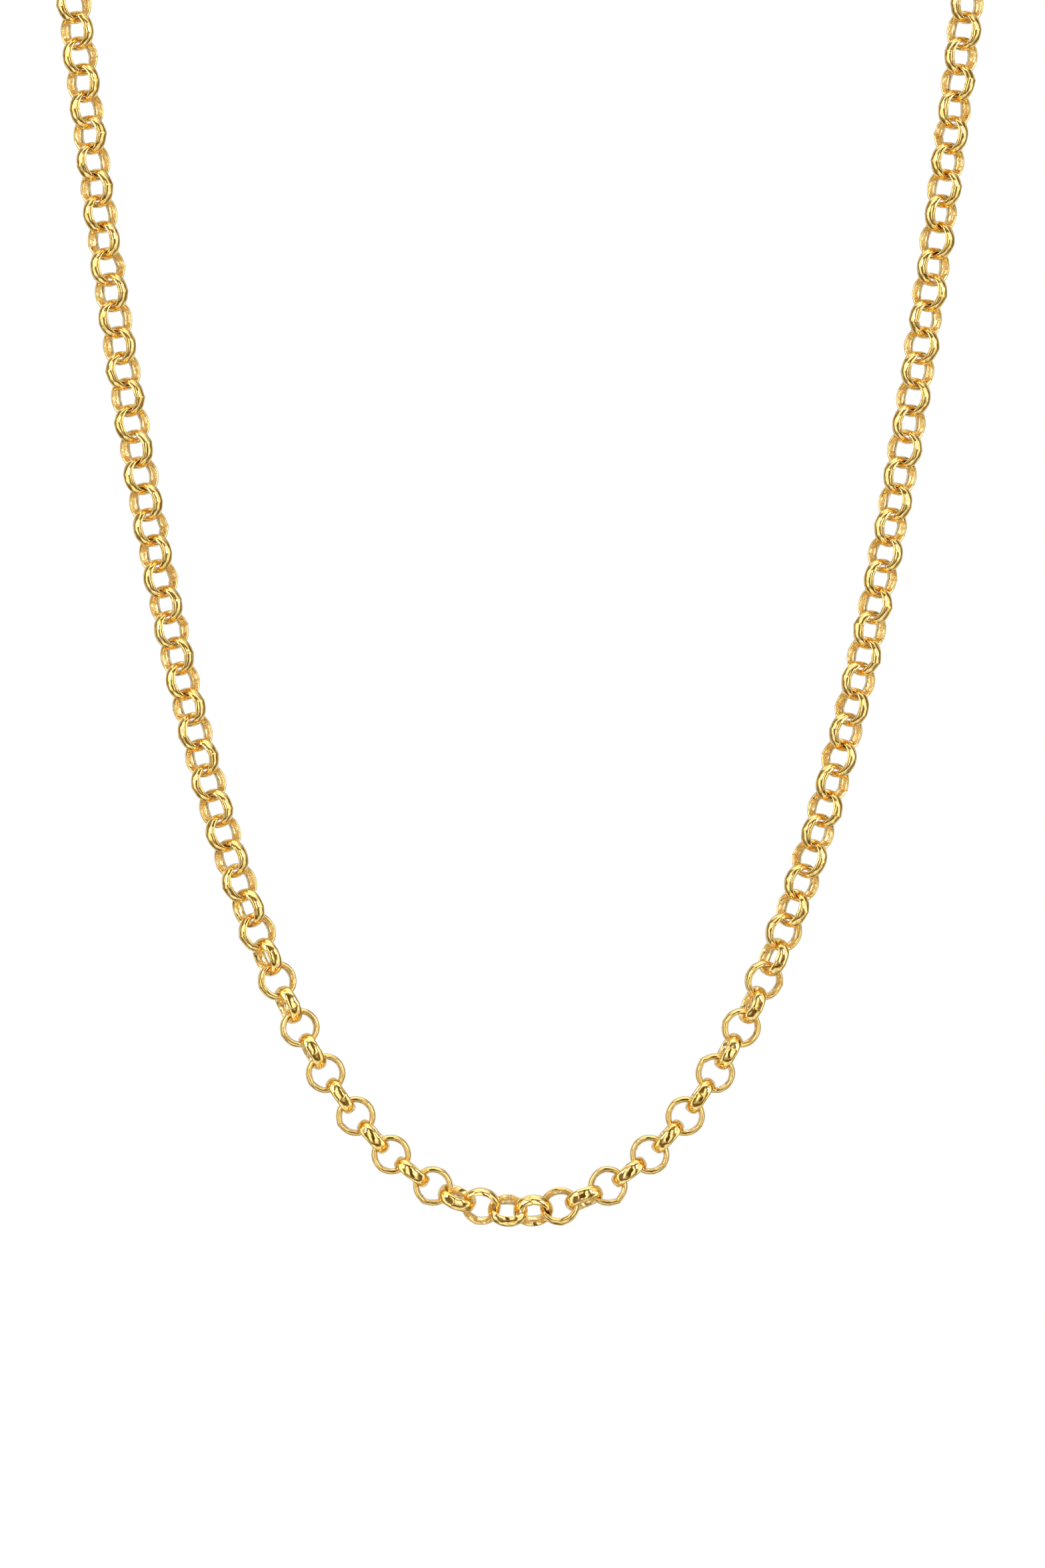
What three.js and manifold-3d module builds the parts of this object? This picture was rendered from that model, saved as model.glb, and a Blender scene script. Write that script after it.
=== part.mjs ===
// A rolo chain necklace with a lobster clasp. Millimetres, +Z up.
// The front hangs as a catenary in a plane that faces -Y. Over each shoulder the chain turns back and runs
// round the neck to the nape, where the clasp lies along X. The origin is the middle of the clasp, on the
// chain's centre line: the nape of the neck, which holds the necklace up.
// The chain is cut into runs of two or three links that are soldered together. Between one run and the next
// the links only hook through each other, so each run swings on the one above.
import * as THREE from 'three';
import { mergeVertices } from 'three/addons/utils/BufferGeometryUtils.js';
import Module from 'manifold-3d';

const wasm = await Module();
wasm.setup();

// ---- driving dimensions ----
// link: a closed ring of half-round wire, flat inside and crowned outside
const LINK_OUTER_RADIUS = 2.0;
const LINK_HOLE_RADIUS = 1.33;
const BAND_WIDTH = 1.3;
const BAND_FLAT_WIDTH = 0.56; // the flat that bears on the next link
const BAND_SHOULDER = 0.28; // how far outside the flat the band is widest
const FRONT_LINK_SIDES = 10;
const BACK_LINK_SIDES = 8;

// chain
const SOLDER_BITE = 0.05; // how far two soldered links sink into each other
const HOOK_PLAY = 0.11; // the gap between two links that swing on each other
const SOLDERED_PITCH = 2 * LINK_HOLE_RADIUS + SOLDER_BITE;
const HOOKED_PITCH = 2 * LINK_HOLE_RADIUS - HOOK_PLAY;
const TWO_LINK_RUNS = 16; // on each side, from the bottom of the front upwards
const THREE_LINK_RUNS = 8; // on each side, above those
const BACK_LINKS = 27; // on each side, from the top of the front to the clasp's jump ring
const SHOULDER_LINKS = 13; // of those, how many are in the run over the shoulder

// the line that the chain lies on
const CATENARY_PARAMETER = 15.7; // the radius of curvature at the bottom of the front
const SHOULDER_RADIUS = 12;
const NECK_DEPTH = 28.8; // from the end of the shoulder bend back to the nape

// clasp and jump rings, in line along X at the nape
const WIRE_PLAY = 0.2; // the gap where a jump ring bears on its neighbour
const SMALL_RING = { outer: 2.3, wire: 0.8 };
const LARGE_RING = { outer: 2.8, wire: 0.9 };
const EYE = { outer: 1.5, hole: 0.8, thickness: 1.2, bevel: 0.15 };
const BOW = { outer: 2.45, inner: 1.35, thickness: 2.0, bevel: 0.28 };
const BOW_TIP = -105; // degrees about the bow's centre
const EYE_TO_BOW = 8.05;
const EYE_TO_PIVOT = 3.35;
const PIVOT_DROP = 1.0;
const TAIL = { start: 1.0, shoulder: 2.2, end: 4.3, neck: 0.62, height: 2.3, thickness: 2.6, bevel: 0.3 };
const TAIL_LAP = 0.3; // how far the bow's bar runs back inside the tail
const PIN_SIDES = 12;
const PIN_RADIUS = 0.4;
const PIN_HOLE_RADIUS = 0.47;
const PIN_SHORT = 0.05; // how far each end of the pin lies below the tail's sides
// the slot in the tail, the lever and the spring are measured from the pivot
const SLOT = { width: 1.04, behind: 1.05, ahead: 1.85, above: 1.3, below: 1.7 };
const LEVER = {
  thickness: 0.88,
  heel: 0.8, // the round end behind the pivot
  tab: 1.9,
  tabDrop: 2.15,
  tip: 4.22,
  tipDrop: 1.39,
  top: 0.36,
};
const SPRING = { thickness: 0.14, width: 0.8, gap: 0.06, foot: 0.35, bend: 0.5, reach: 1.25, tip: 0.28 };

const GOLD = { color: 0xe2b04a, roughness: 0.16, metalness: 1 };
const DEEP_GOLD = { color: 0xcf9a36, roughness: 0.22, metalness: 1 };
const SPRING_STEEL = { color: 0xa8a59c, roughness: 0.35, metalness: 1 };

const Y = new THREE.Vector3(0, 1, 0);
const Z = new THREE.Vector3(0, 0, 1);
const degrees = THREE.MathUtils.degToRad;

// ---- solids ----
function solidOf(geometry) {
  const bare = geometry.clone();
  bare.deleteAttribute('normal');
  bare.deleteAttribute('uv');
  const merged = mergeVertices(bare, 1e-4);
  return new wasm.Manifold(new wasm.Mesh({
    numProp: 3,
    vertProperties: new Float32Array(merged.attributes.position.array),
    triVerts: Uint32Array.from(merged.index.array),
  }));
}

function geometryOf(solid) {
  const { vertProperties, triVerts } = solid.getMesh();
  const geometry = new THREE.BufferGeometry();
  geometry.setAttribute('position', new THREE.BufferAttribute(vertProperties, 3));
  geometry.setIndex(new THREE.BufferAttribute(triVerts, 1));
  return geometry;
}

function joined(geometries) {
  return geometryOf(geometries.map(solidOf).reduce((whole, piece) => whole.add(piece)));
}

function pieceMesh(name, geometry, finish, position = new THREE.Vector3()) {
  const mesh = new THREE.Mesh(geometry, new THREE.MeshStandardMaterial(finish));
  mesh.name = name;
  mesh.position.copy(position);
  return mesh;
}

// ---- links ----
// A ring about the Y axis. A flat of its hole faces +Z and another -Z, where its neighbours bear.
function linkGeometry(sides) {
  const toCorner = 1 / Math.cos(Math.PI / sides);
  const half = BAND_FLAT_WIDTH / 2;
  const section = [
    new THREE.Vector2(LINK_HOLE_RADIUS * toCorner, -half),
    new THREE.Vector2((LINK_HOLE_RADIUS + BAND_SHOULDER) * toCorner, -BAND_WIDTH / 2),
    new THREE.Vector2(LINK_OUTER_RADIUS, 0),
    new THREE.Vector2((LINK_HOLE_RADIUS + BAND_SHOULDER) * toCorner, BAND_WIDTH / 2),
    new THREE.Vector2(LINK_HOLE_RADIUS * toCorner, half),
  ];
  section.push(section[0].clone());
  return new THREE.LatheGeometry(section, sides, Math.PI / sides);
}

// A link at its place on the chain: along is the chain's direction and facing the reference for twist.
function placedLink(geometry, { point, along, facing, side }, twist, origin) {
  const inward = new THREE.Vector3().crossVectors(along, facing).multiplyScalar(side);
  const normal = facing.clone().multiplyScalar(Math.cos(twist))
    .addScaledVector(inward, -Math.sin(twist));
  const across = new THREE.Vector3().crossVectors(normal, along);
  const turned = new THREE.Matrix4().makeBasis(across, normal, along);
  turned.setPosition(point.clone().sub(origin));
  return geometry.clone().applyMatrix4(turned);
}

// ---- the line of the chain, on one side: side is -1 on the left and 1 on the right ----
const frontLength = HOOKED_PITCH * (TWO_LINK_RUNS + THREE_LINK_RUNS)
  + SOLDERED_PITCH * (TWO_LINK_RUNS + 2 * THREE_LINK_RUNS);
const claspHalfLength = LINK_HOLE_RADIUS + SMALL_RING.outer - SMALL_RING.wire + LARGE_RING.outer
  - LARGE_RING.wire + (EYE.hole + EYE_TO_BOW + BOW.inner) / 2 - 2 * WIRE_PLAY;

function catenaryPoint(side, length) {
  const reach = Math.hypot(CATENARY_PARAMETER, length);
  const across = CATENARY_PARAMETER * Math.asinh(length / CATENARY_PARAMETER);
  return {
    point: new THREE.Vector3(side * across, 0, reach - CATENARY_PARAMETER),
    along: new THREE.Vector3(side * CATENARY_PARAMETER / reach, 0, length / reach),
    facing: Y.clone(),
    side,
  };
}

function shoulderPoint(side, length) {
  const top = catenaryPoint(side, frontLength);
  const turn = length / SHOULDER_RADIUS;
  const point = top.point.clone()
    .addScaledVector(top.along, SHOULDER_RADIUS * Math.sin(turn))
    .addScaledVector(Y, SHOULDER_RADIUS * (1 - Math.cos(turn)));
  const along = top.along.clone().multiplyScalar(Math.cos(turn)).addScaledVector(Y, Math.sin(turn));
  const facing = top.along.clone().multiplyScalar(-Math.sin(turn)).addScaledVector(Y, Math.cos(turn));
  return { point, along, facing, side };
}

const shoulderLength = SHOULDER_RADIUS * Math.PI / 2;
const shoulderEnd = shoulderPoint(1, shoulderLength).point;
const neckCurve = new THREE.EllipseCurve(
  claspHalfLength, shoulderEnd.y,
  shoulderEnd.x - claspHalfLength, NECK_DEPTH,
  0, Math.PI / 2,
);
const nape = new THREE.Vector3(0, shoulderEnd.y + NECK_DEPTH, shoulderEnd.z);

function neckPoint(side, length) {
  const share = Math.min(1, length / neckCurve.getLength());
  const place = neckCurve.getPointAt(share);
  const heading = neckCurve.getTangentAt(share);
  return {
    point: new THREE.Vector3(side * place.x, place.y, shoulderEnd.z),
    along: new THREE.Vector3(side * heading.x, heading.y, 0),
    facing: Z.clone().negate(),
    side,
  };
}

// length is measured along the chain from the bottom of the front
function chainPoint(side, length) {
  const past = length - frontLength;
  let place = catenaryPoint(side, length);
  if (past > shoulderLength) {
    place = neckPoint(side, past - shoulderLength);
  } else if (past > 0) {
    place = shoulderPoint(side, past);
  }
  place.point.sub(nape);
  return place;
}

// ---- how far the chain has twisted, which makes its links show face on, edge on or between ----
const TWIST_AT_BOTTOM = -45;
const LOWER_TWIST = 45; // taken up over the first few links from the bottom
const LOWER_TWIST_LINKS = 4;
const UPPER_TWIST = 45; // taken up higher, on the way to the straight strands
const UPPER_TWIST_FROM = 8;
const UPPER_TWIST_LINKS = 12;
const BACK_TWIST = -45; // taken back behind the shoulders, so that the last links stand upright

function eased(share) {
  return THREE.MathUtils.smoothstep(share, 0, 1);
}

// number counts the links from the bottom of the front, starting at 1
function linkTwist(side, number, frontLinks) {
  const lower = LOWER_TWIST * Math.min(1, (number - 0.5) / LOWER_TWIST_LINKS);
  const upper = UPPER_TWIST * eased((number - UPPER_TWIST_FROM) / UPPER_TWIST_LINKS);
  const back = BACK_TWIST * eased((number - frontLinks) / (BACK_LINKS - 1));
  const quarter = number % 2 === 0 ? 0 : 90;
  const parity = side < 0 ? quarter : 90 - quarter;
  return degrees(TWIST_AT_BOTTOM - side * (lower + upper + back) + parity);
}

// ---- runs of soldered links ----
const frontLinkGeometry = linkGeometry(FRONT_LINK_SIDES);
const backLinkGeometry = linkGeometry(BACK_LINK_SIDES);
const frontLinks = 2 * TWO_LINK_RUNS + 3 * THREE_LINK_RUNS;
// One hooked pitch lies between the two back runs, and half of one at each end of them.
const backPitch = (shoulderLength + neckCurve.getLength() - 1.5 * HOOKED_PITCH) / (BACK_LINKS - 2);

// A run has the number of its first link, and the lengths along the chain at which its links lie.
function sideRuns(side, sideName) {
  const runs = [];
  const total = TWO_LINK_RUNS + THREE_LINK_RUNS;
  let length = HOOKED_PITCH / 2;
  let number = 1;
  for (let i = 0; i < total; i += 1) {
    const count = i < TWO_LINK_RUNS ? 2 : 3;
    const lengths = Array.from({ length: count }, (_, k) => length + k * SOLDERED_PITCH);
    const name = `${sideName}_run_${String(total - i).padStart(2, '0')}`;
    runs.push({ name, side, first: number, lengths, geometry: frontLinkGeometry });
    length = lengths.at(-1) + HOOKED_PITCH;
    number += count;
  }
  for (const [part, count] of [['shoulder', SHOULDER_LINKS], ['nape', BACK_LINKS - SHOULDER_LINKS]]) {
    const lengths = Array.from({ length: count }, (_, k) => length + k * backPitch);
    const name = `${sideName}_${part}_run`;
    runs.push({ name, side, first: number, lengths, geometry: backLinkGeometry });
    length = lengths.at(-1) + HOOKED_PITCH;
    number += count;
  }
  return runs;
}

function runMesh({ name, side, first, lengths, geometry }) {
  const places = lengths.map((length) => chainPoint(side, length));
  const origin = places[0].point;
  const links = places.map((place, k) => placedLink(
    geometry, place, linkTwist(side, first + k, frontLinks), origin,
  ));
  return pieceMesh(name, joined(links), GOLD, origin);
}

// ---- jump rings and clasp ----
const smallRingX = -claspHalfLength + LINK_HOLE_RADIUS + SMALL_RING.outer - SMALL_RING.wire - WIRE_PLAY;
const eyeX = smallRingX + SMALL_RING.outer - SMALL_RING.wire + EYE.hole - WIRE_PLAY;
const bowX = eyeX + EYE_TO_BOW;
const largeRingX = bowX + BOW.inner - WIRE_PLAY + LARGE_RING.outer - LARGE_RING.wire;

// A jump ring of round wire that lies level, with its centre on the clasp's line.
function jumpRing(name, { outer, wire }, x) {
  const corners = 6;
  const sides = 14;
  const section = Array.from({ length: corners + 1 }, (_, k) => {
    const angle = 2 * Math.PI * ((k % corners) + 0.5) / corners;
    return new THREE.Vector2(outer - wire / 2 + wire / 2 * Math.cos(angle), wire / 2 * Math.sin(angle));
  });
  const ring = new THREE.LatheGeometry(section, sides, Math.PI / sides).rotateX(Math.PI / 2);
  return pieceMesh(name, ring, GOLD, new THREE.Vector3(x, 0, 0));
}

// A flat outline in the plane of the clasp (first number along X, second up), thickened evenly about y = 0.
function plate(shape, thickness, bevel = 0) {
  const solid = new THREE.ExtrudeGeometry(shape, {
    depth: thickness - 2 * bevel,
    bevelEnabled: bevel > 0,
    bevelThickness: bevel,
    bevelSize: bevel,
    bevelOffset: -bevel,
    bevelSegments: 1,
    curveSegments: 7,
  });
  return solid.translate(0, 0, -thickness / 2 + bevel).rotateX(Math.PI / 2);
}

const pivot = new THREE.Vector2(eyeX + EYE_TO_PIVOT, -PIVOT_DROP);
const tipAngle = degrees(BOW_TIP);

function hookOutline() {
  const rootX = eyeX + TAIL.end - TAIL_LAP;
  const shape = new THREE.Shape();
  shape.absarc(bowX, 0, BOW.outer, tipAngle, Math.PI / 2, false);
  shape.lineTo(rootX, TAIL.height - 0.05);
  shape.lineTo(rootX - 2 * TAIL_LAP, BOW.inner);
  shape.absarc(bowX, 0, BOW.inner, Math.PI / 2, tipAngle, true);
  return shape;
}

function tailOutline() {
  const shape = new THREE.Shape();
  shape.moveTo(eyeX + TAIL.start, TAIL.neck);
  shape.quadraticCurveTo(eyeX + TAIL.shoulder, TAIL.height - 0.2, eyeX + TAIL.end, TAIL.height);
  shape.lineTo(eyeX + TAIL.end + 0.4, BOW.inner + 0.05);
  shape.lineTo(eyeX + TAIL.end + 0.1, 0.4 - TAIL.height);
  shape.quadraticCurveTo(eyeX + TAIL.shoulder, 0.2 - TAIL.height, eyeX + TAIL.start, -TAIL.neck);
  return shape;
}

function eyeOutline() {
  const shape = new THREE.Shape();
  shape.absarc(eyeX, 0, EYE.outer, 0, 2 * Math.PI, false);
  const hole = new THREE.Path();
  hole.absarc(eyeX, 0, EYE.hole, 0, 2 * Math.PI, true);
  shape.holes.push(hole);
  return shape;
}

function pinAlongY(radius, length) {
  return new THREE.CylinderGeometry(radius, radius, length, PIN_SIDES).translate(pivot.x, 0, pivot.y);
}

// The slot that the lever and its spring lie in, open below and towards the bow.
function slotGeometry() {
  return new THREE.BoxGeometry(SLOT.behind + SLOT.ahead, SLOT.width, SLOT.above + SLOT.below)
    .translate(pivot.x + (SLOT.ahead - SLOT.behind) / 2, 0, pivot.y + (SLOT.above - SLOT.below) / 2);
}

function claspBody() {
  const outside = solidOf(plate(hookOutline(), BOW.thickness, BOW.bevel))
    .add(solidOf(plate(tailOutline(), TAIL.thickness, TAIL.bevel)))
    .add(solidOf(plate(eyeOutline(), EYE.thickness, EYE.bevel)));
  const body = outside
    .subtract(solidOf(slotGeometry()))
    .subtract(solidOf(pinAlongY(PIN_HOLE_RADIUS, 2 * TAIL.thickness)));
  return pieceMesh('clasp_body', geometryOf(body), GOLD);
}

// The lever shuts the hook from the tail to the hook's tip, and carries the thumb tab.
function claspLever() {
  const { heel, tab, tabDrop, tip, tipDrop, top } = LEVER;
  const shape = new THREE.Shape();
  shape.absarc(pivot.x, pivot.y, heel, Math.PI / 2, 1.5 * Math.PI, false);
  shape.lineTo(pivot.x + tab - 1, pivot.y - tabDrop + 1);
  shape.quadraticCurveTo(pivot.x + tab - heel, pivot.y - tabDrop + 0.05, pivot.x + tab, pivot.y - tabDrop);
  shape.quadraticCurveTo(
    pivot.x + tab + 0.2, pivot.y - tipDrop - 0.1,
    pivot.x + tab + heel, pivot.y - tipDrop,
  );
  shape.lineTo(pivot.x + tip - 0.26, pivot.y - tipDrop);
  shape.lineTo(pivot.x + tip, pivot.y - top);
  shape.lineTo(pivot.x + tab, pivot.y - top);
  shape.quadraticCurveTo(pivot.x + tab / 2, pivot.y - top / 3, pivot.x + 0.55, pivot.y + 0.5);
  const lever = solidOf(plate(shape, LEVER.thickness))
    .subtract(solidOf(pinAlongY(PIN_HOLE_RADIUS, 2 * TAIL.thickness)));
  return pieceMesh('clasp_lever', geometryOf(lever), GOLD);
}

// A leaf that stands against the slot's end wall, runs under its roof and bears down on the lever's arm.
function claspSpring() {
  const { thickness, width, gap, foot, bend, reach, tip } = SPRING;
  const wall = pivot.x - SLOT.behind + gap;
  const roof = pivot.y + SLOT.above - gap;
  const shape = new THREE.Shape();
  shape.moveTo(wall, pivot.y + foot);
  shape.lineTo(wall, roof);
  shape.lineTo(pivot.x + bend, roof);
  shape.lineTo(pivot.x + reach, pivot.y + tip);
  shape.lineTo(pivot.x + reach - thickness, pivot.y + tip - thickness / 2);
  shape.lineTo(pivot.x + bend - thickness / 2, roof - thickness);
  shape.lineTo(wall + thickness, roof - thickness);
  shape.lineTo(wall + thickness, pivot.y + foot);
  return pieceMesh('clasp_spring', plate(shape, width), SPRING_STEEL);
}

function claspPin() {
  return pieceMesh('clasp_pin', pinAlongY(PIN_RADIUS, TAIL.thickness - 2 * PIN_SHORT), DEEP_GOLD);
}

// ---- the necklace ----
const necklace = new THREE.Group();
necklace.name = 'chain_necklace';
for (const [side, sideName] of [[-1, 'left'], [1, 'right']]) {
  for (const run of sideRuns(side, sideName)) {
    necklace.add(runMesh(run));
  }
}
necklace.add(jumpRing('small_jump_ring', SMALL_RING, smallRingX));
necklace.add(jumpRing('large_jump_ring', LARGE_RING, largeRingX));
necklace.add(claspBody(), claspLever(), claspSpring(), claspPin());

export default necklace;
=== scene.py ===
"""A rolo chain necklace of polished yellow gold, hanging from the nape and shut there by a lobster clasp.

Lengths are in millimetres until a mesh is finished, and the finished meshes are in metres.
"""

import math
import random

import bpy
import numpy as np
from mathutils import Matrix, Vector


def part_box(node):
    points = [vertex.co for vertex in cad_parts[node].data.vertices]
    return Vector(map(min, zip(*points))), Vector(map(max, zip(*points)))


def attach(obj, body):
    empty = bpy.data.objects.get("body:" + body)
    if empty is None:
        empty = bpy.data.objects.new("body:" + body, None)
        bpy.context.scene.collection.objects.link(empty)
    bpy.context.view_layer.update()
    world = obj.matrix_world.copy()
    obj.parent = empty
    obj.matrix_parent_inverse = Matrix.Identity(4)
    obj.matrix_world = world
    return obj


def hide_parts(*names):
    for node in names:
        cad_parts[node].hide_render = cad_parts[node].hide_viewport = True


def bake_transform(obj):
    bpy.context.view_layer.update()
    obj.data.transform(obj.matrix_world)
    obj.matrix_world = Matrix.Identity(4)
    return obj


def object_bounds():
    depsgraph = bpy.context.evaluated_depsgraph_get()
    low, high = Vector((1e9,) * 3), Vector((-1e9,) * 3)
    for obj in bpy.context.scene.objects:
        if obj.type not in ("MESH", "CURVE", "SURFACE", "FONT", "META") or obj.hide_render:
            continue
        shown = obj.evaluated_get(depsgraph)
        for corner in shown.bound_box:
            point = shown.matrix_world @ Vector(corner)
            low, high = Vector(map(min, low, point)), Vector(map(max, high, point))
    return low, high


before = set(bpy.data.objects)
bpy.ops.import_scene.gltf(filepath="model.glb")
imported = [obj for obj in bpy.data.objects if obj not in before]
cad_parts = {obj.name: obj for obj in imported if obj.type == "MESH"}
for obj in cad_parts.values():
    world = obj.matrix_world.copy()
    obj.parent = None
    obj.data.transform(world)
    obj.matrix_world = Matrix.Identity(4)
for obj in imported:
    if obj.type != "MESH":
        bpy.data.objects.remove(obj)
cad_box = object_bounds()
MM = 0.001

# ---- the chain, as the CAD model lays it out ----
LINK_OUTER, LINK_HOLE, BAND_WIDTH = 2.0, 1.33, 1.3
SOLDERED_PITCH, HOOKED_PITCH = 2.71, 2.55
TWO_LINK_RUNS, THREE_LINK_RUNS = 16, 8
BACK_LINKS, SHOULDER_LINKS = 27, 13
CATENARY, SHOULDER_RADIUS, NECK_DEPTH = 15.7, 12.0, 28.8
SMALL_RING, LARGE_RING = (2.3, 0.8), (2.8, 0.9)  # outer radius, wire diameter
WIRE_PLAY = 0.2
EYE_OUTER, EYE_HOLE, BOW_OUTER, BOW_INNER, EYE_TO_BOW = 1.5, 0.8, 2.45, 1.35, 8.05
CLASP_HALF = (
    LINK_HOLE + SMALL_RING[0] - SMALL_RING[1] + LARGE_RING[0] - LARGE_RING[1]
    + (EYE_HOLE + EYE_TO_BOW + BOW_INNER) / 2 - 2 * WIRE_PLAY
)
SMALL_RING_X = -CLASP_HALF + LINK_HOLE + SMALL_RING[0] - SMALL_RING[1] - WIRE_PLAY
EYE_X = SMALL_RING_X + SMALL_RING[0] - SMALL_RING[1] + EYE_HOLE - WIRE_PLAY
BOW_X = EYE_X + EYE_TO_BOW
LARGE_RING_X = BOW_X + BOW_INNER - WIRE_PLAY + LARGE_RING[0] - LARGE_RING[1]
PIVOT_X, PIVOT_Z = EYE_X + 3.35, -1.0

X, Y, Z = Vector((1, 0, 0)), Vector((0, 1, 0)), Vector((0, 0, 1))
FRONT_LENGTH = HOOKED_PITCH * (TWO_LINK_RUNS + THREE_LINK_RUNS) + SOLDERED_PITCH * (
    TWO_LINK_RUNS + 2 * THREE_LINK_RUNS
)
FRONT_LINKS = 2 * TWO_LINK_RUNS + 3 * THREE_LINK_RUNS


def on_catenary(side, length):
    """Place, heading along the chain and direction the twist is counted from, at a length from the bottom."""
    reach = math.hypot(CATENARY, length)
    point = Vector((side * CATENARY * math.asinh(length / CATENARY), 0, reach - CATENARY))
    return point, Vector((side * CATENARY / reach, 0, length / reach)), Y.copy()


def on_shoulder(side, length):
    top, heading, _ = on_catenary(side, FRONT_LENGTH)
    turn = length / SHOULDER_RADIUS
    point = top + heading * SHOULDER_RADIUS * math.sin(turn) + Y * SHOULDER_RADIUS * (1 - math.cos(turn))
    along = heading * math.cos(turn) + Y * math.sin(turn)
    return point, along, Y * math.cos(turn) - heading * math.sin(turn)


SHOULDER_LENGTH = SHOULDER_RADIUS * math.pi / 2
SHOULDER_END = on_shoulder(1, SHOULDER_LENGTH)[0]
NAPE = Vector((0, SHOULDER_END.y + NECK_DEPTH, SHOULDER_END.z))


def neck_table(steps=4000):
    """The quarter ellipse round the neck as points, with the length along it up to each."""
    angle = np.linspace(0, math.pi / 2, steps)
    x = CLASP_HALF + (SHOULDER_END.x - CLASP_HALF) * np.cos(angle)
    y = SHOULDER_END.y + NECK_DEPTH * np.sin(angle)
    run = np.concatenate([[0], np.cumsum(np.hypot(np.diff(x), np.diff(y)))])
    return x, y, run


NECK_X, NECK_Y, NECK_RUN = neck_table()
NECK_LENGTH = float(NECK_RUN[-1])


def on_neck(side, length):
    length = min(length, NECK_LENGTH)
    here = [float(np.interp(length, NECK_RUN, v)) for v in (NECK_X, NECK_Y)]
    step = min(length + 0.01, NECK_LENGTH) - 0.02
    before = [float(np.interp(step, NECK_RUN, v)) for v in (NECK_X, NECK_Y)]
    after = [float(np.interp(step + 0.02, NECK_RUN, v)) for v in (NECK_X, NECK_Y)]
    along = Vector((side * (after[0] - before[0]), after[1] - before[1], 0)).normalized()
    return Vector((side * here[0], here[1], SHOULDER_END.z)), along, -Z


def on_chain(side, length):
    past = length - FRONT_LENGTH
    if past > SHOULDER_LENGTH:
        point, along, facing = on_neck(side, past - SHOULDER_LENGTH)
    elif past > 0:
        point, along, facing = on_shoulder(side, past)
    else:
        point, along, facing = on_catenary(side, length)
    return point - NAPE, along, facing


def eased(share):
    share = min(1.0, max(0.0, share))
    return share * share * (3 - 2 * share)


def link_twist(side, number):
    """How far a link is turned about the chain, in degrees: the chain twists a little as it hangs."""
    lower = 45 * min(1.0, (number - 0.5) / 4)
    upper = 45 * eased((number - 8) / 12)
    back = -45 * eased((number - FRONT_LINKS) / (BACK_LINKS - 1))
    quarter = 0 if number % 2 == 0 else 90
    return -45 - side * (lower + upper + back) + (quarter if side < 0 else 90 - quarter)


BACK_PITCH = (SHOULDER_LENGTH + NECK_LENGTH - 1.5 * HOOKED_PITCH) / (BACK_LINKS - 2)
EVENNESS = 0.1  # 1 spaces the links evenly, 0 leaves them on the CAD model's pitches


def chain_runs(side, word):
    """Every run on one side: its name, its first link's number and the lengths its links lie at."""
    runs, length, number = [], HOOKED_PITCH / 2, 1
    total = TWO_LINK_RUNS + THREE_LINK_RUNS
    for i in range(total):
        count = 2 if i < TWO_LINK_RUNS else 3
        lengths = [length + k * SOLDERED_PITCH for k in range(count)]
        length = lengths[-1] + HOOKED_PITCH
        draw_in = (SOLDERED_PITCH - HOOKED_PITCH) / (4 if count == 2 else 3) * EVENNESS
        lengths[0] += draw_in
        lengths[-1] -= draw_in
        runs.append((f"{word}_run_{total - i:02d}", number, lengths))
        number += count
    for part, count in (("shoulder", SHOULDER_LINKS), ("nape", BACK_LINKS - SHOULDER_LINKS)):
        lengths = [length + k * BACK_PITCH for k in range(count)]
        runs.append((f"{word}_{part}_run", number, lengths))
        length = lengths[-1] + HOOKED_PITCH
        number += count
    return runs


# ---- one link ----
RUBBED_HOLE = 1.365  # the hole's radius, worn a little wider than the CAD model's
LINK_SEED = 7919


def band_section():
    """Half-round wire as (across, out from the hole, how much of the inner face it is), once round.

    The inner face is crowned towards its edges, which gives the next link room to swing.
    """
    half, edge, crown, belly = 0.46, 0.26, 0.13, LINK_OUTER - RUBBED_HOLE
    inner = [(u, crown * (u / half) ** 2, 1.0) for u in np.linspace(-half, half, 9)]
    side = [(half + 0.08, crown + 0.05, 0.6), (BAND_WIDTH / 2, edge, 0.1)]
    dome = []
    for angle in np.linspace(0, math.pi, 15)[1:-1]:
        across = BAND_WIDTH / 2 * math.copysign(abs(math.cos(angle)) ** 0.92, math.cos(angle))
        dome.append((across, edge + (belly - edge) * math.sin(angle) ** 0.96, 0.0))
    mirrored = [(-u, out, share) for u, out, share in reversed(side)]
    return inner + side + dome + mirrored


SECTION = band_section()
RING_STEPS = 72


def corner_lift(gap, straight):
    """How far a corner with straight sides stands out from a circle of radius 1, at an angle gap from it."""
    return 1 / math.cos(straight - abs(gap)) - 1 if abs(gap) < straight else 0.0


def turned_from(angle, start):
    return (angle - start + math.pi) % (2 * math.pi) - math.pi


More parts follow.
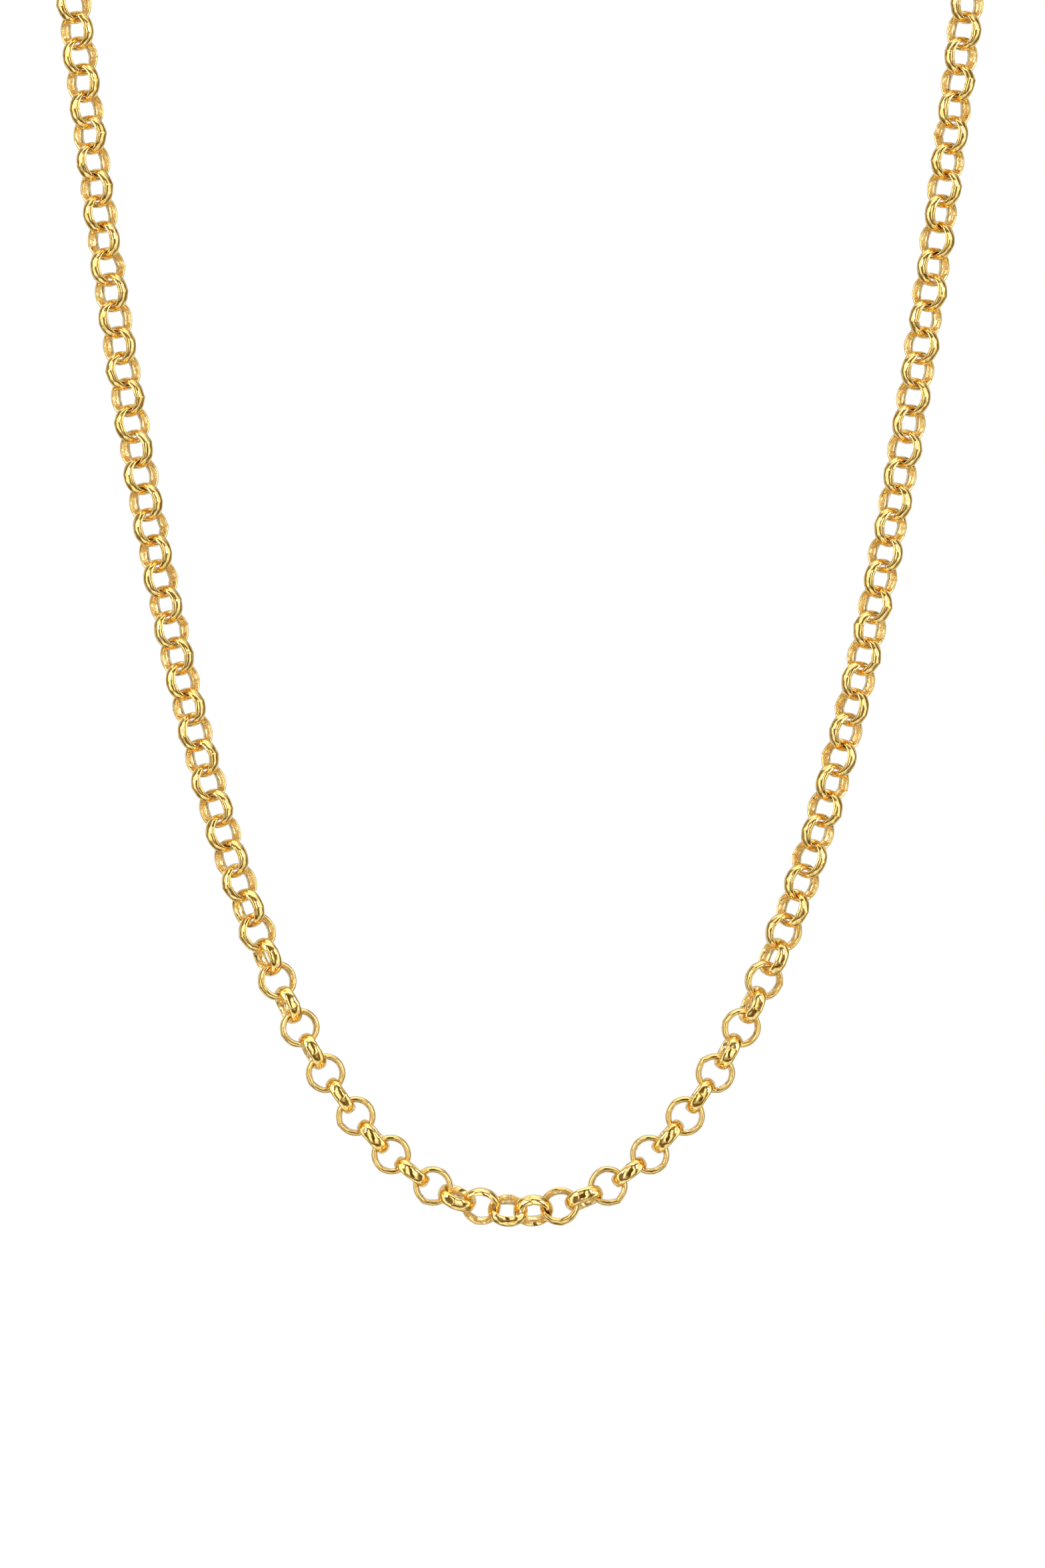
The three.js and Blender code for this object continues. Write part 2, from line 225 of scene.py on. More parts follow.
def ring_mesh(chance, seam_side):
    """One closed link about its own Y, with its neighbours bearing at +Z and -Z.

    The wire's two ends meet at a corner on one side, where they were left a little straighter than the rest.
    The bending has left some weaker corners elsewhere.
    """
    seam = math.radians(90 * seam_side + chance.uniform(-14, 14))
    straight = math.radians(chance.uniform(11, 22))
    bends = [
        (seam + math.radians(chance.uniform(42, 318)), math.radians(chance.uniform(5, 12)))
        for _ in range(5)
    ]
    step = chance.uniform(-0.035, 0.035)
    stretch = chance.uniform(-0.012, 0.012)
    lean = [(k, chance.uniform(-0.012, 0.012), chance.uniform(0, 6.28)) for k in (2, 3, 5, 7)]
    hair = math.radians(1.3)
    angles = np.linspace(0, 2 * math.pi, RING_STEPS, endpoint=False) + seam + math.pi / RING_STEPS
    angles = np.sort(np.concatenate([angles - seam, [2 * math.pi - hair, 2 * math.pi - 1e-9, hair]])) + seam
    vertices, inside, seams = [], [], []
    for angle in angles:
        gap = turned_from(angle, seam)
        lift = corner_lift(gap, straight)
        for bend, spread in bends:
            lift = max(lift, corner_lift(turned_from(angle, bend), spread))
        shift = step * math.copysign(1, gap) * math.exp(-abs(gap) / 0.35) if abs(gap) > 1e-6 else 0.0
        shift += sum(size * math.sin(k * angle + phase) for k, size, phase in lean)
        groove = 0.014 if abs(gap) < hair / 2 else 0.0
        oval = 1 + stretch * math.cos(2 * angle)
        for across, out, share in SECTION:
            radius = (RUBBED_HOLE + out + (LINK_HOLE + LINK_OUTER) / 2 * lift) * oval
            radius += groove * (1 if share > 0.5 else -1)
            width = across * (1 - 1.2 * groove) + shift
            vertices.append((radius * math.sin(angle), width, radius * math.cos(angle)))
            inside.append(share)
            seams.append(math.exp(-((gap / 0.09) ** 2)))
    count, round_ = len(SECTION), len(angles)
    faces = [
        (i * count + j, i * count + (j + 1) % count, (i + 1) % round_ * count + (j + 1) % count,
         (i + 1) % round_ * count + j)
        for i in range(round_) for j in range(count)
    ]
    return np.array(vertices), np.array(faces), np.array(inside), np.array(seams)


def mesh_object(name, vertices, faces, attributes):
    """A new object from points in mm, with smooth faces."""
    mesh = bpy.data.meshes.new(name)
    mesh.from_pydata((np.asarray(vertices) * MM).tolist(), [], np.asarray(faces).tolist())
    mesh.validate()
    for key, values in attributes.items():
        mesh.attributes.new(key, "FLOAT", "POINT").data.foreach_set("value", np.asarray(values, np.float32))
    mesh.polygons.foreach_set("use_smooth", [True] * len(mesh.polygons))
    mesh.update()
    obj = bpy.data.objects.new(name, mesh)
    bpy.context.scene.collection.objects.link(obj)
    return obj


def link_normal(place, twist, side):
    _, along, facing = place
    return facing * math.cos(twist) - along.cross(facing) * side * math.sin(twist)


def across_chain(place, twist, side):
    return link_normal(place, twist, side).cross(place[1])


def placed(vertices, place, twist, side):
    """Points of a link moved to their place on the chain, as the CAD model's placedLink does."""
    basis = np.array([across_chain(place, twist, side), link_normal(place, twist, side), place[1]])
    return vertices @ basis + np.array(place[0])


def run_object(side, name, first, lengths):
    vertices, faces, inside, seams, start = [], [], [], [], 0
    for k, length in enumerate(lengths):
        number = first + k
        chance = random.Random(LINK_SEED * number + (1 if side > 0 else 0))
        twist = math.radians(link_twist(side, number) + chance.uniform(-2.5, 2.5))
        place = on_chain(side, length)
        # most of the seams lie on the side of the link that stands out to the front
        outward = 1 if across_chain(place, twist, side).y < 0 else -1
        ring, quads, share, seam = ring_mesh(chance, outward if chance.random() < 0.8 else -outward)
        vertices.append(placed(ring, place, twist, side))
        faces.append(quads + start)
        inside.append(share)
        seams.append(seam)
        start += len(ring)
    return mesh_object(
        f"{name}_links", np.concatenate(vertices), np.concatenate(faces),
        {"inside": np.concatenate(inside), "seam": np.concatenate(seams)},
    )


# ---- materials ----
class Nodes:
    """Short calls for building a material's nodes."""

    def __init__(self, name):
        self.material = bpy.data.materials.new(name)
        self.material.use_nodes = True
        self.tree = self.material.node_tree
        self.shader = self.tree.nodes["Principled BSDF"]
        self.place = self.add("ShaderNodeTexCoord").outputs["Object"]

    def add(self, kind, **values):
        node = self.tree.nodes.new(kind)
        for key, value in values.items():
            setattr(node, key, value)
        return node

    def set(self, socket, value):
        if isinstance(value, bpy.types.NodeSocket):
            self.tree.links.new(value, socket)
        else:
            socket.default_value = value

    def attribute(self, name):
        return self.add("ShaderNodeAttribute", attribute_name=name).outputs["Fac"]

    def noise(self, size_mm, detail=3.0, rough=0.55, stretch=(1, 1, 1)):
        mapping = self.add("ShaderNodeMapping")
        mapping.inputs["Scale"].default_value = stretch
        self.set(mapping.inputs["Vector"], self.place)
        node = self.add("ShaderNodeTexNoise")
        self.set(node.inputs["Vector"], mapping.outputs["Vector"])
        node.inputs["Scale"].default_value = 1000.0 / size_mm
        node.inputs["Detail"].default_value = detail
        node.inputs["Roughness"].default_value = rough
        return node.outputs["Fac"]

    def between(self, value, low, high, start, end):
        node = self.add("ShaderNodeMapRange", interpolation_type="SMOOTHSTEP")
        for key, number in zip(("From Min", "From Max", "To Min", "To Max"), (low, high, start, end)):
            node.inputs[key].default_value = number
        self.set(node.inputs["Value"], value)
        return node.outputs["Result"]

    def maths(self, operation, a, b):
        node = self.add("ShaderNodeMath", operation=operation)
        self.set(node.inputs[0], a)
        self.set(node.inputs[1], b)
        return node.outputs[0]

    def mixed(self, share, a, b):
        node = self.add("ShaderNodeMix", data_type="RGBA")
        self.set(node.inputs[0], share)
        self.set(node.inputs[6], a)
        self.set(node.inputs[7], b)
        return node.outputs[2]

    def bump(self, height, strength, distance_mm, under=None):
        node = self.add("ShaderNodeBump")
        node.inputs["Strength"].default_value = strength
        node.inputs["Distance"].default_value = distance_mm * MM
        self.set(node.inputs["Height"], height)
        if under is not None:
            self.set(node.inputs["Normal"], under)
        return node.outputs["Normal"]


PALE, RICH, DEEP = (1.0, 0.765, 0.42, 1), (1.0, 0.695, 0.22, 1), (0.76, 0.38, 0.04, 1)


PAINTED_SHEEN_CREAM = (1.0, 0.80, 0.42, 1)  # painted sheen: a paler cream on the flat inner faces, where links rub, standing in for the bright reflection they show


def chain_gold():
    """Bright polished gold: near mirror on the dome; the flat inner face scuffed, and paler with a painted
    sheen.
    """
    n = Nodes("polished_gold_chain")
    inside, seam = n.attribute("inside"), n.attribute("seam")
    cloud = n.between(n.noise(1.7, 4), 0.35, 0.68, 0, 1)
    tone = n.mixed(n.maths("MULTIPLY", cloud, 0.4), RICH, PALE)
    # painted sheen: the inner faces are mixed towards a paler cream that stands in for their bright
    # reflection
    tone = n.mixed(n.maths("MULTIPLY", inside, 0.85), tone, PAINTED_SHEEN_CREAM)
    scuffs = n.between(n.noise(0.6, 6, 0.72), 0.50, 0.62, 0, 1)
    tone = n.mixed(n.maths("MULTIPLY", n.maths("MULTIPLY", scuffs, inside), 0.7), tone, DEEP)
    tone = n.mixed(n.maths("MULTIPLY", seam, 0.2), tone, DEEP)
    n.set(n.shader.inputs["Base Color"], tone)
    n.shader.inputs["Metallic"].default_value = 1.0
    smudge = n.between(n.noise(0.9, 3), 0.4, 0.75, 0.06, 0.15)
    worn = n.maths("MULTIPLY", inside, n.between(n.noise(0.5, 4, 0.65), 0.35, 0.7, 0.02, 0.22))
    rough = n.maths("ADD", n.maths("ADD", smudge, worn), n.maths("MULTIPLY", seam, 0.12))
    n.set(n.shader.inputs["Roughness"], rough)
    wave = n.bump(n.noise(1.1, 1), 1.0, 0.12)
    ripple = n.bump(n.noise(0.4, 2), 0.4, 0.02, wave)
    hair = n.bump(n.noise(0.09, 3, 0.6, (1, 1, 0.2)), 0.10, 0.01, ripple)
    n.set(n.shader.inputs["Normal"], n.bump(n.maths("MULTIPLY", scuffs, inside), 0.6, 0.02, hair))
    return n.material


def cast_gold(name, base, low, high, ripple):
    """Cast and tumbled gold for the clasp, rings and pin: softer ripples and fine handling scratches."""
    n = Nodes(name)
    cloud = n.between(n.noise(2.2, 4), 0.35, 0.68, 0, 0.55)
    pits = n.between(n.noise(0.12, 4, 0.6), 0.62, 0.8, 0, 0.6)
    n.set(n.shader.inputs["Base Color"], n.mixed(pits, n.mixed(cloud, base, PALE), DEEP))
    n.shader.inputs["Metallic"].default_value = 1.0
    n.set(n.shader.inputs["Roughness"], n.between(n.noise(0.5, 4, 0.6), 0.35, 0.75, low, high))
    wave = n.bump(n.noise(0.9, 2), ripple, 0.03)
    n.set(n.shader.inputs["Normal"], n.bump(n.noise(0.07, 3, 0.6, (0.2, 1, 1)), 0.12, 0.008, wave))
    return n.material


def spring_steel():
    n = Nodes("spring_steel")
    drawn = n.noise(0.05, 3, 0.6, (0.1, 1, 1))
    n.set(n.shader.inputs["Base Color"], n.mixed(drawn, (0.50, 0.48, 0.45, 1), (0.68, 0.66, 0.62, 1)))
    n.shader.inputs["Metallic"].default_value = 1.0
    n.set(n.shader.inputs["Roughness"], n.between(drawn, 0.3, 0.7, 0.22, 0.42))
    n.set(n.shader.inputs["Normal"], n.bump(drawn, 0.2, 0.005))
    return n.material


CHAIN_GOLD = chain_gold()
CLASP_GOLD = cast_gold("polished_gold_clasp", RICH, 0.08, 0.2, 0.3)
RIVET_GOLD = cast_gold("peened_gold_pin", (0.88, 0.58, 0.18, 1), 0.16, 0.32, 0.6)
STEEL = spring_steel()


def finish_piece(obj, material, body, slot, *nodes):
    obj.data.materials.append(material)
    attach(obj, body)
    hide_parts(*nodes)


# ---- the chain ----
for side, word in ((-1, "left"), (1, "right")):
    for name, first, lengths in chain_runs(side, word):
        links = run_object(side, name, first, lengths)
        body = name if "_run_" in name else "nape"
        finish_piece(links, CHAIN_GOLD, body, "gold_chain", name)


# ---- jump rings and clasp ----
def jump_ring(name, outer, wire, x, seam):
    """A ring of round wire that lies level, its two sawn ends closed up with a hair between them."""
    steps, corners, half_gap = 96, 20, 0.012 / outer
    vertices, faces = [], []
    for i in range(steps + 1):
        angle = seam + half_gap + (2 * math.pi - 2 * half_gap) * i / steps
        slip = 0.04 * (i / steps - 0.5)
        for k in range(corners):
            turn = 2 * math.pi * k / corners
            end = 0.94 if i in (0, steps) else 1.0
            radius = outer - wire / 2 + wire / 2 * end * math.cos(turn)
            vertices.append((x + radius * math.cos(angle), radius * math.sin(angle),
                             wire / 2 * end * math.sin(turn) + slip))
    for i in range(steps):
        for k in range(corners):
            a, b = i * corners + k, i * corners + (k + 1) % corners
            faces.append((a, a + corners, b + corners, b))
    faces.append(tuple(range(corners)))
    faces.append(tuple(reversed(range(steps * corners, (steps + 1) * corners))))
    mesh = bpy.data.meshes.new(name)
    mesh.from_pydata((np.array(vertices) * MM).tolist(), [], faces)
    mesh.polygons.foreach_set("use_smooth", [len(p.vertices) == 4 for p in mesh.polygons])
    mesh.update()
    obj = bpy.data.objects.new(name, mesh)
    bpy.context.scene.collection.objects.link(obj)
    return obj


finish_piece(
    jump_ring("small_jump_ring_wire", *SMALL_RING, SMALL_RING_X, 2.1),
    CLASP_GOLD, "small_jump_ring", "gold_chain", "small_jump_ring",
)
finish_piece(
    jump_ring("large_jump_ring_wire", *LARGE_RING, LARGE_RING_X, -1.2),
    CLASP_GOLD, "large_jump_ring", "gold_chain", "large_jump_ring",
)


def arc(x, z, radius, start, end, steps):
    """Points round a centre, with angles in degrees."""
    return [
        (x + radius * math.cos(math.radians(a)), z + radius * math.sin(math.radians(a)))
        for a in np.linspace(start, end, steps)
    ]


def bow(a, middle, b, steps=10):
    """A quadratic curve from a towards middle and on to b, without a itself."""
    return [
        tuple((1 - t) ** 2 * p + 2 * (1 - t) * t * q + t * t * r for p, q, r in zip(a, middle, b))
        for t in np.linspace(0, 1, steps + 1)[1:]
    ]


def straight(a, b, steps=8):
    """Points on the line from a to b, without a itself."""
    return [tuple(p + (q - p) * k / steps for p, q in zip(a, b)) for k in range(1, steps + 1)]


def plate(outlines, thickness, round_):
    """A temporary object in mm: flat outlines in X and Z, thickened evenly about y = 0, edges rounded."""
    curve = bpy.data.curves.new("plate", "CURVE")
    curve.dimensions = "2D"
    curve.fill_mode = "BOTH"
    curve.extrude = thickness / 2 - round_
    curve.bevel_depth = round_
    curve.offset = -round_
    curve.bevel_resolution = 5
    for points in outlines:
        spline = curve.splines.new("POLY")
        spline.points.add(len(points) - 1)
        for p, (x, z) in zip(spline.points, points):
            p.co = (x, z, 0, 1)
        spline.use_cyclic_u = True
    obj = bpy.data.objects.new("plate", curve)
    bpy.context.scene.collection.objects.link(obj)
    bpy.context.view_layer.update()
    mesh = bpy.data.meshes.new_from_object(obj.evaluated_get(bpy.context.evaluated_depsgraph_get()))
    bpy.data.objects.remove(obj)
    mesh.transform(Matrix.Rotation(math.pi / 2, 4, "X"))
    return temporary(mesh)


def temporary(mesh):
    obj = bpy.data.objects.new("temporary", mesh)
    bpy.context.scene.collection.objects.link(obj)
    weld = obj.modifiers.new("weld", "WELD")
    weld.merge_threshold = 1e-4
    return obj


def block(low, high):
    corners = [(x, y, z) for x in (low[0], high[0]) for y in (low[1], high[1]) for z in (low[2], high[2])]
    faces = [(0, 1, 3, 2), (4, 6, 7, 5), (0, 4, 5, 1), (2, 3, 7, 6), (0, 2, 6, 4), (1, 5, 7, 3)]
    mesh = bpy.data.meshes.new("block")
    mesh.from_pydata(corners, [], faces)
    return temporary(mesh)


def rod(x, z, radius, length, corners=40):
    """A round bar along Y as a temporary object in mm.

    Its faces point inwards, so cut() takes nothing away with it and the pin's bore stays closed.
    """
    points = arc(0, 0, radius, 0, 360 - 360 / corners, corners)
    vertices = [(x + p, y, z + q) for y in (-length / 2, length / 2) for p, q in points]
    faces = [(k, (k + 1) % corners, corners + (k + 1) % corners, corners + k) for k in range(corners)]
    faces += [tuple(reversed(range(corners))), tuple(range(corners, 2 * corners))]
    mesh = bpy.data.meshes.new("rod")
    mesh.from_pydata(vertices, [], faces)
    return temporary(mesh)


def evaluated_copy(obj):
    bpy.context.view_layer.update()
    return bpy.data.meshes.new_from_object(obj.evaluated_get(bpy.context.evaluated_depsgraph_get()))


def cut(obj, *tools):
    for tool in tools:
        modifier = obj.modifiers.new("cut", "BOOLEAN")
        modifier.operation = "DIFFERENCE"
        modifier.solver = "EXACT"
        modifier.object = tool
    return obj


def cast(name, objects, grain, softness):
    """One soft-edged casting out of several temporary solids: joined, remade on a fine grid and smoothed."""
    meshes = [evaluated_copy(o) for o in objects]
    vertices, faces, start = [], [], 0
    for mesh in meshes:
        vertices += [tuple(v.co) for v in mesh.vertices]
        faces += [tuple(i + start for i in p.vertices) for p in mesh.polygons]
        start = len(vertices)
    whole = bpy.data.meshes.new(name)
    whole.from_pydata(vertices, [], faces)
    obj = bpy.data.objects.new(name, whole)
    bpy.context.scene.collection.objects.link(obj)
    grid = obj.modifiers.new("grid", "REMESH")
    grid.mode = "VOXEL"
    grid.voxel_size = grain
    soft = obj.modifiers.new("soft", "SMOOTH")
    soft.factor = 0.5
    soft.iterations = softness
    final = evaluated_copy(obj)
    obj.modifiers.clear()
    final.transform(Matrix.Scale(MM, 4))
    final.polygons.foreach_set("use_smooth", [True] * len(final.polygons))
    final.update()
    obj.data = final
    return obj


PIN_HOLE = 0.44  # radius
LEVER_THICKNESS, LEVER_HEEL = 0.88, 0.8
SPRING_THICKNESS, SPRING_WIDTH = 0.14, 0.8


def clasp_body():
    hook = arc(BOW_X, 0, BOW_OUTER, -105, 90, 60)
    hook += [(EYE_X + 4.0, 2.25), (EYE_X + 3.4, BOW_INNER)]
    hook += arc(BOW_X, 0, BOW_INNER, 90, -105, 50)
    tail = [(EYE_X + 1.0, 0.62)]
    tail += bow((EYE_X + 1.0, 0.62), (EYE_X + 2.2, 2.1), (EYE_X + 4.3, 2.3))
    tail += [(EYE_X + 4.7, 1.4), (EYE_X + 4.4, -1.9)]
    tail += bow((EYE_X + 4.4, -1.9), (EYE_X + 2.2, -2.1), (EYE_X + 1.0, -0.62))
    slot = block((PIVOT_X - 1.05, -0.52, -2.7), (EYE_X + 5.2, 0.52, 0.3))
    hole = rod(PIVOT_X, PIVOT_Z, PIN_HOLE, 6)
    solids = [
        cut(plate([hook], 2.0, 0.45), slot),
        cut(plate([tail], 2.6, 0.42), slot, hole),
        plate([arc(EYE_X, 0, EYE_OUTER, 0, 354, 60), arc(EYE_X, 0, EYE_HOLE, 0, 354, 60)], 1.2, 0.3),
    ]
    body = cast("clasp_body_casting", solids, 0.06, 5)
    for tool in [slot, hole, *solids]:
        bpy.data.objects.remove(tool)
    return body


def clasp_lever():
    x, z = PIVOT_X, PIVOT_Z
    outline = arc(x, z, LEVER_HEEL, 90, 270, 24)
    outline += [(x + 0.9, z - 1.15)]
    outline += bow((x + 0.9, z - 1.15), (x + 1.1, z - 2.1), (x + 1.9, z - 2.15))
    outline += bow((x + 1.9, z - 2.15), (x + 2.1, z - 1.49), (x + 2.7, z - 1.39))
    outline += [(x + 3.96, z - 1.39), (x + 4.22, z - 0.36), (x + 1.9, z - 0.36)]
    outline += bow((x + 1.9, z - 0.36), (x + 0.95, z - 0.12), (x + 0.55, z + 0.5))
    hole = rod(x, z, PIN_HOLE, 4)
    solid = cut(plate([outline], LEVER_THICKNESS, 0.16), hole)
    lever = cast("clasp_lever_casting", [solid], 0.045, 4)
    for tool in (hole, solid):
        bpy.data.objects.remove(tool)
    return lever


def clasp_pin():
    """A rivet with both ends peened to low domes. Its faces point inwards."""
    profile = [(-1.27, 0.0), (-1.265, 0.16), (-1.245, 0.30), (-1.20, 0.385), (-1.14, 0.40), (1.14, 0.40),
               (1.20, 0.385), (1.245, 0.30), (1.265, 0.16), (1.27, 0.0)]
    corners = 32
    turns = [2 * math.pi * k / corners for k in range(corners)]
    vertices = [
        (PIVOT_X + r * math.cos(turn), y, PIVOT_Z + r * math.sin(turn))
        for y, r in profile[1:-1] for turn in turns
    ]
    rows = len(profile) - 2
    faces = [
        (i * corners + k, i * corners + (k + 1) % corners, (i + 1) * corners + (k + 1) % corners,
         (i + 1) * corners + k)
        for i in range(rows - 1) for k in range(corners)
    ]
    faces += [tuple(reversed(range(corners))), tuple(range((rows - 1) * corners, rows * corners))]
    mesh = bpy.data.meshes.new("clasp_pin_rivet")
    mesh.from_pydata((np.array(vertices) * MM).tolist(), [], faces)
    mesh.polygons.foreach_set("use_smooth", [True] * len(mesh.polygons))
    mesh.update()
    obj = bpy.data.objects.new("clasp_pin_rivet", mesh)
    bpy.context.scene.collection.objects.link(obj)
    return obj


def clasp_spring():
    """A leaf of thin steel, bent twice.

    It stands in the slot's end, runs under its roof and bears on the lever.
    """
    x, z, t = PIVOT_X, PIVOT_Z, SPRING_THICKNESS
    upper = [(x - 0.99, z + 0.35), (x - 0.99, z + 1.0)]
    upper += bow((x - 0.99, z + 1.0), (x - 0.99, z + 1.24), (x - 0.75, z + 1.24), 6)
    upper += [(x + 0.3, z + 1.24)] + bow((x + 0.3, z + 1.24), (x + 0.52, z + 1.24), (x + 0.66, z + 1.03), 6)
    upper += straight((x + 0.66, z + 1.03), (x + 1.25, z + 0.28)) + [(x + 1.25 - t, z + 0.21)]
    lower = straight((x + 1.25 - t, z + 0.21), (x + 0.55, z + 0.95))
    lower += bow((x + 0.55, z + 0.95), (x + 0.45, z + 1.1), (x + 0.28, z + 1.1), 6)
    lower += [(x - 0.72, z + 1.1)] + bow((x - 0.72, z + 1.1), (x - 0.85, z + 1.1), (x - 0.85, z + 0.98), 6)
    lower += [(x - 0.85, z + 0.35)]
    solid = plate([upper + lower], SPRING_WIDTH, 0.03)
    mesh = evaluated_copy(solid)
    bpy.data.objects.remove(solid)
    mesh.transform(Matrix.Scale(MM, 4))
    obj = bpy.data.objects.new("clasp_spring_leaf", mesh)
    bpy.context.scene.collection.objects.link(obj)
    return obj


finish_piece(clasp_body(), CLASP_GOLD, "clasp", "gold_clasp", "clasp_body")
finish_piece(clasp_lever(), CLASP_GOLD, "clasp_lever", "gold_clasp", "clasp_lever")
finish_piece(clasp_pin(), RIVET_GOLD, "clasp", "gold_rivet", "clasp_pin")
leaf = clasp_spring()
leaf.data.materials.append(STEEL)
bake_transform(leaf)
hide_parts("clasp_spring")


# ---- studio: what the polished gold reflects ----
def studio_world():
    """A pale grey room with softboxes at the sides and above and the dark of the camera's side in front.

    It is broken up a little, as a real room is. The camera itself sees plain white.
    """
    scene = bpy.context.scene
    world = bpy.data.worlds.new("studio")
    world.use_nodes = True
    scene.world = world
    tree = world.node_tree
    tree.nodes.clear()

    def add(kind, **values):
        node = tree.nodes.new(kind)
        for key, value in values.items():
            setattr(node, key, value)
        return node

    def put(socket, value):
        if isinstance(value, bpy.types.NodeSocket):
            tree.links.new(value, socket)
        else:
            socket.default_value = value

    def maths(operation, x, y=0.0):
        node = add("ShaderNodeMath", operation=operation)
        put(node.inputs[0], x)
        put(node.inputs[1], y)
        return node.outputs[0]

    def along(direction):
        node = add("ShaderNodeVectorMath", operation="DOT_PRODUCT")
        tree.links.new(rays, node.inputs[0])
        node.inputs[1].default_value = direction
        return node.outputs["Value"]

    def smooth(value, low, high, start, end):
        node = add("ShaderNodeMapRange", interpolation_type="SMOOTHSTEP")
        for key, number in zip(("From Min", "From Max", "To Min", "To Max"), (low, high, start, end)):
            node.inputs[key].default_value = number
        put(node.inputs["Value"], value)
        return node.outputs["Result"]

    def panel(centre, width, height, soft):
        """1 inside a rounded panel seen in that direction, its half sizes in degrees, and 0 outside it."""
        centre = Vector(centre).normalized()
        right = centre.cross(Z if abs(centre.z) < 0.9 else Y).normalized()
        across = maths("DIVIDE", along(right), math.sin(math.radians(width)))
        up = maths("DIVIDE", along(right.cross(centre)), math.sin(math.radians(height)))
        across, up = (maths("POWER", maths("ABSOLUTE", value), 4.0) for value in (across, up))
        reach = maths("ADD", across, up)
        edge = smooth(reach, (1 - soft) ** 4, (1 + soft) ** 4, 1.0, 0.0)
        return maths("MULTIPLY", edge, maths("GREATER_THAN", along(centre), 0.0))

    def over(below, value, share):
        """value laid over below where share is 1."""
        gap = maths("SUBTRACT", value, below)
        return maths("ADD", below, maths("MULTIPLY", gap, share))

    rays = add("ShaderNodeTexCoord").outputs["Generated"]
    height = along(Z)
    room = smooth(height, -0.9, -0.2, 0.62, 0.45)
    room = over(room, 0.32, smooth(height, 0.1, 0.6, 0.0, 1.0))
    room = over(room, 0.7, smooth(along(Y), 0.1, 0.8, 0.0, 1.0))
    for centre, width, tall, soft, value in STUDIO_PANELS:
        room = over(room, value, panel(centre, width, tall, soft))
    clutter = add("ShaderNodeTexNoise")
    tree.links.new(rays, clutter.inputs["Vector"])
    clutter.inputs["Scale"].default_value = 3.2
    clutter.inputs["Detail"].default_value = 3.0
    room = maths("MULTIPLY", room, smooth(clutter.outputs["Fac"], 0.3, 0.7, 0.5, 1.35))
    tint = add("ShaderNodeCombineColor")
    for key, dark, light in (("Red", 1.0, 1.0), ("Green", 0.60, 1.0), ("Blue", 0.05, 0.98)):
        tree.links.new(maths("MULTIPLY", room, smooth(room, 0.05, 0.45, dark, light)), tint.inputs[key])
    reflected = add("ShaderNodeBackground")
    tree.links.new(tint.outputs[0], reflected.inputs["Color"])
    seen = add("ShaderNodeBackground")
    seen.inputs["Color"].default_value = (1, 1, 1, 1)
    choose = add("ShaderNodeMixShader")
    tree.links.new(add("ShaderNodeLightPath").outputs["Is Camera Ray"], choose.inputs[0])
    tree.links.new(reflected.outputs[0], choose.inputs[1])
    tree.links.new(seen.outputs[0], choose.inputs[2])
    tree.links.new(choose.outputs[0], add("ShaderNodeOutputWorld").inputs["Surface"])


# direction, half width, half height (degrees), softness of the edge, brightness
STUDIO_PANELS = (
    ((0, 0.15, 1), 34, 24, 0.2, 1.7),
    ((0, -0.75, 0.8), 60, 9, 0.3, 0.22),
    ((0, -0.62, -1), 60, 8, 0.3, 0.18),
    ((0, -0.1, -1), 40, 16, 0.3, 1.1),
    ((0, 0.6, -1), 60, 8, 0.3, 0.25),
    ((-1, 0.35, 0.05), 9, 52, 0.25, 0.25),
    ((1, 0.35, 0.05), 9, 52, 0.25, 0.25),
    ((-1, -0.15, 0.1), 12, 40, 0.2, 1.8),
    ((1, -0.15, 0.1), 12, 40, 0.2, 1.65),
    ((-1, -0.75, 0.0), 7, 45, 0.3, 0.18),
    ((1, -0.75, 0.0), 7, 45, 0.3, 0.18),
    ((-0.45, -1, 0.15), 10, 34, 0.25, 1.7),
    ((0.45, -1, 0.15), 10, 34, 0.25, 1.7),
    ((0.03, -1, -0.05), 9, 34, 0.3, 0.10),
)
studio_world()

FLOOR_DROP = 0.26  # metres from the lowest link down to the floor
FLOOR_RINGS = (0.3, 0.9, 3.0)  # pale near the necklace, fading to the white of the background further out
FLOOR_CORNERS = 96
FAR_GLOW = 0.5  # how much the far part gives off of its own, so that no horizon shows


